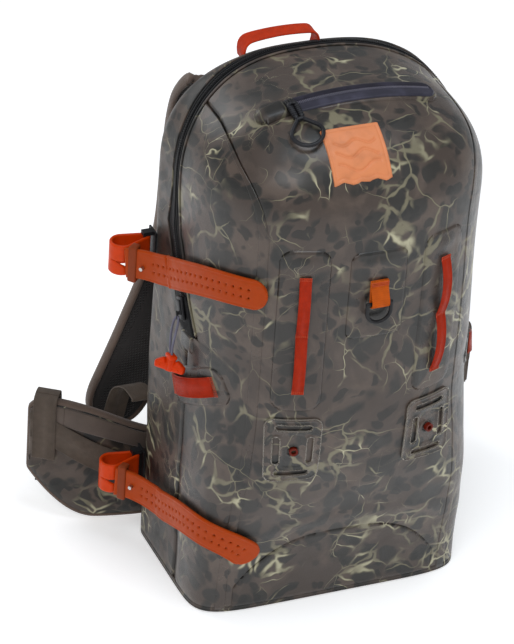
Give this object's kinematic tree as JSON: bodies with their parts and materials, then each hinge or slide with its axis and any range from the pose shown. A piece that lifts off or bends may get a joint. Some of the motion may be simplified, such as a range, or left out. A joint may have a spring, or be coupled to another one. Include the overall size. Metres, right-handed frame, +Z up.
{
  "type": "tackle backpack",
  "caption": "Waterproof zip-sealed fishing backpack with padded harness, hip belt, rubber rod straps, lash points and tool plates.",
  "frame": {"origin": "centre of the flat base between the side walls, on the ground plane", "axes": "+Z up, -Y towards the bag's front, +Y towards the wearer's back, +X to the right seen from the front"},
  "size_m": [0.508, 0.32, 0.5709],
  "materials": {
    "coated_fabric": "semi-gloss coated fabric with a mottled water pattern",
    "base_fabric": "coated fabric, worn matt",
    "harness_fabric": "matt woven fabric over foam with bound edges",
    "spacer_mesh": "spacer mesh over foam",
    "lining": "thin lining fabric",
    "zip_tape": "coated zip tape",
    "zip_teeth": "fine moulded teeth",
    "black_plastic": "moulded plastic, satin",
    "black_cord": "rubber-dipped cord",
    "orange_rubber": "translucent rubber",
    "red_webbing": "flat woven webbing with a sheen",
    "brown_webbing": "woven webbing",
    "emblem": "moulded patch, matt",
    "clear_mould": "translucent moulded plate",
    "grommet": "moulded eyelet",
    "steel": "brushed",
    "stiffener": "extruded sheet"
  },
  "bodies": {
    "pack": {"front_panel": "coated_fabric", "side_panel_left": "coated_fabric", "side_panel_right": "coated_fabric", "rear_gusset": "coated_fabric", "back_panel": "harness_fabric", "base_panel": "base_fabric", "base_front_patch": "coated_fabric", "main_zip_tape": "zip_tape", "main_zip_coil": "zip_teeth", "zip_end_stops": "black_plastic", "dock_patches": "coated_fabric", "dock_loops": "red_webbing", "pocket_zip_tape": "zip_tape", "pocket_zip_coil": "zip_teeth", "pocket_zip_garage": "coated_fabric", "emblem_patch": "emblem", "lash_panels": "coated_fabric", "lash_straps": "red_webbing", "d_ring_webbing": "red_webbing", "tool_plates": "clear_mould", "tool_grommets": "grommet", "carry_handle": "red_webbing", "strap_lugs": "black_plastic", "frame_sheet": "stiffener", "inner_pocket": "lining", "inner_zip": "zip_tape", "back_pads": "spacer_mesh", "lumbar_pad": "spacer_mesh", "lower_webbing_left": "brown_webbing", "lower_webbing_right": "brown_webbing"},
    "main_zip_runner": {"main_zip_slider": "black_plastic"},
    "main_zip_pull": {"main_zip_cord": "black_cord", "main_zip_handle": "orange_rubber"},
    "pocket_zip_runner": {"pocket_zip_slider": "black_plastic"},
    "pocket_pull": {"pocket_zip_pull": "black_cord"},
    "lash_ring": {"d_ring": "black_plastic"},
    "upper_rod_strap": {"upper_strap_loop": "orange_rubber", "upper_strap_buckle": "orange_rubber", "upper_strap_prong": "steel"},
    "upper_rod_tail": {"upper_strap_tail": "orange_rubber"},
    "lower_rod_strap": {"lower_strap_loop": "orange_rubber", "lower_strap_buckle": "orange_rubber", "lower_strap_prong": "steel"},
    "lower_rod_tail": {"lower_strap_tail": "orange_rubber"},
    "left_shoulder": {"shoulder_strap_left": "harness_fabric", "ladder_lock_left": "black_plastic"},
    "right_shoulder": {"shoulder_strap_right": "harness_fabric", "ladder_lock_right": "black_plastic"},
    "left_sternum_slider": {"sternum_slider_left": "black_plastic"},
    "right_sternum_slider": {"sternum_slider_right": "black_plastic"},
    "left_sternum_web": {"sternum_strap_left": "brown_webbing", "sternum_buckle_female": "black_plastic"},
    "right_sternum_web": {"sternum_strap_right": "brown_webbing", "sternum_buckle_male": "black_plastic"},
    "left_hip": {"hip_wing_left": "coated_fabric"},
    "right_hip": {"hip_wing_right": "coated_fabric"},
    "left_waist_web": {"hip_webbing_left": "brown_webbing", "hip_buckle_male": "black_plastic"},
    "right_waist_web": {"hip_webbing_right": "brown_webbing", "hip_buckle_female": "black_plastic"}
  },
  "joints": [
    {"name": "main_zip_slide", "type": "slide", "parent": "pack", "child": "main_zip_runner", "axis": [-0.0033, 0.4548, 0.8906], "range_m": [0, 0.01]},
    {"name": "main_pull_swing", "type": "hinge", "parent": "main_zip_runner", "child": "main_zip_pull", "pos_m": [-0.15764, -0.0124, 0.32088], "axis": [0, 0.8906, -0.4548], "range_deg": [0, 38]},
    {"name": "pocket_zip_run", "type": "hinge", "parent": "pack", "child": "pocket_zip_runner", "pos_m": [0.004, 0.01815, 0.23209], "axis": [0, 0.9877, 0.1564], "range_deg": [0, 24.85]},
    {"name": "pocket_pull_swing", "type": "hinge", "parent": "pocket_zip_runner", "child": "pocket_pull", "pos_m": [-0.06198, -0.03652, 0.56133], "axis": [0.981, -0.0303, 0.1916], "range_deg": [-120, 0]},
    {"name": "ring_swing", "type": "hinge", "parent": "pack", "child": "lash_ring", "pos_m": [0, -0.14, 0.384], "axis": [1, 0, 0], "range_deg": [-150, 0]},
    {"name": "upper_rod_loop_turn", "type": "hinge", "parent": "pack", "child": "upper_rod_strap", "pos_m": [-0.16, 0.076, 0.348], "axis": [0, 0, 1], "range_deg": [-25, 0]},
    {"name": "upper_rod_tail_open", "type": "hinge", "parent": "upper_rod_strap", "child": "upper_rod_tail", "pos_m": [-0.16, 0.034, 0.348], "axis": [0, 0, 1], "range_deg": [-75, 0]},
    {"name": "lower_rod_loop_turn", "type": "hinge", "parent": "pack", "child": "lower_rod_strap", "pos_m": [-0.16, 0.076, 0.084], "axis": [0, 0, 1], "range_deg": [-25, 0]},
    {"name": "lower_rod_tail_open", "type": "hinge", "parent": "lower_rod_strap", "child": "lower_rod_tail", "pos_m": [-0.16, 0.034, 0.084], "axis": [0, 0, 1], "range_deg": [-75, 0]},
    {"name": "left_shoulder_lift", "type": "hinge", "parent": "pack", "child": "left_shoulder", "pos_m": [-0.078, 0.0995, 0.512], "axis": [1, 0, 0], "range_deg": [0, 14]},
    {"name": "left_sternum_slide", "type": "slide", "parent": "left_shoulder", "child": "left_sternum_slider", "axis": [-0.0137, 0.0575, -0.9982], "range_m": [-0.035, 0.035]},
    {"name": "left_sternum_swing", "type": "hinge", "parent": "left_sternum_slider", "child": "left_sternum_web", "pos_m": [-0.081, 0.169, 0.357], "axis": [1, 0, 0], "range_deg": [0, 80]},
    {"name": "left_hip_fold", "type": "hinge", "parent": "pack", "child": "left_hip", "pos_m": [-0.106, 0.104, 0.06], "axis": [0, 0, -1], "range_deg": [-3, 12]},
    {"name": "left_waist_web_swing", "type": "hinge", "parent": "left_hip", "child": "left_waist_web", "pos_m": [-0.23479, 0.1375, 0.14873], "axis": [0.8234, -0.5674, 0], "range_deg": [0, 55]},
    {"name": "right_shoulder_lift", "type": "hinge", "parent": "pack", "child": "right_shoulder", "pos_m": [0.078, 0.0995, 0.512], "axis": [1, 0, 0], "range_deg": [0, 14]},
    {"name": "right_sternum_slide", "type": "slide", "parent": "right_shoulder", "child": "right_sternum_slider", "axis": [0.0137, 0.0575, -0.9982], "range_m": [-0.035, 0.035]},
    {"name": "right_sternum_swing", "type": "hinge", "parent": "right_sternum_slider", "child": "right_sternum_web", "pos_m": [0.081, 0.169, 0.357], "axis": [1, 0, 0], "range_deg": [0, 80]},
    {"name": "right_hip_fold", "type": "hinge", "parent": "pack", "child": "right_hip", "pos_m": [0.106, 0.104, 0.06], "axis": [0, 0, 1], "range_deg": [-3, 12]},
    {"name": "right_waist_web_swing", "type": "hinge", "parent": "right_hip", "child": "right_waist_web", "pos_m": [0.23479, 0.1375, 0.14873], "axis": [0.8234, 0.5674, 0], "range_deg": [0, 55]}
  ]
}
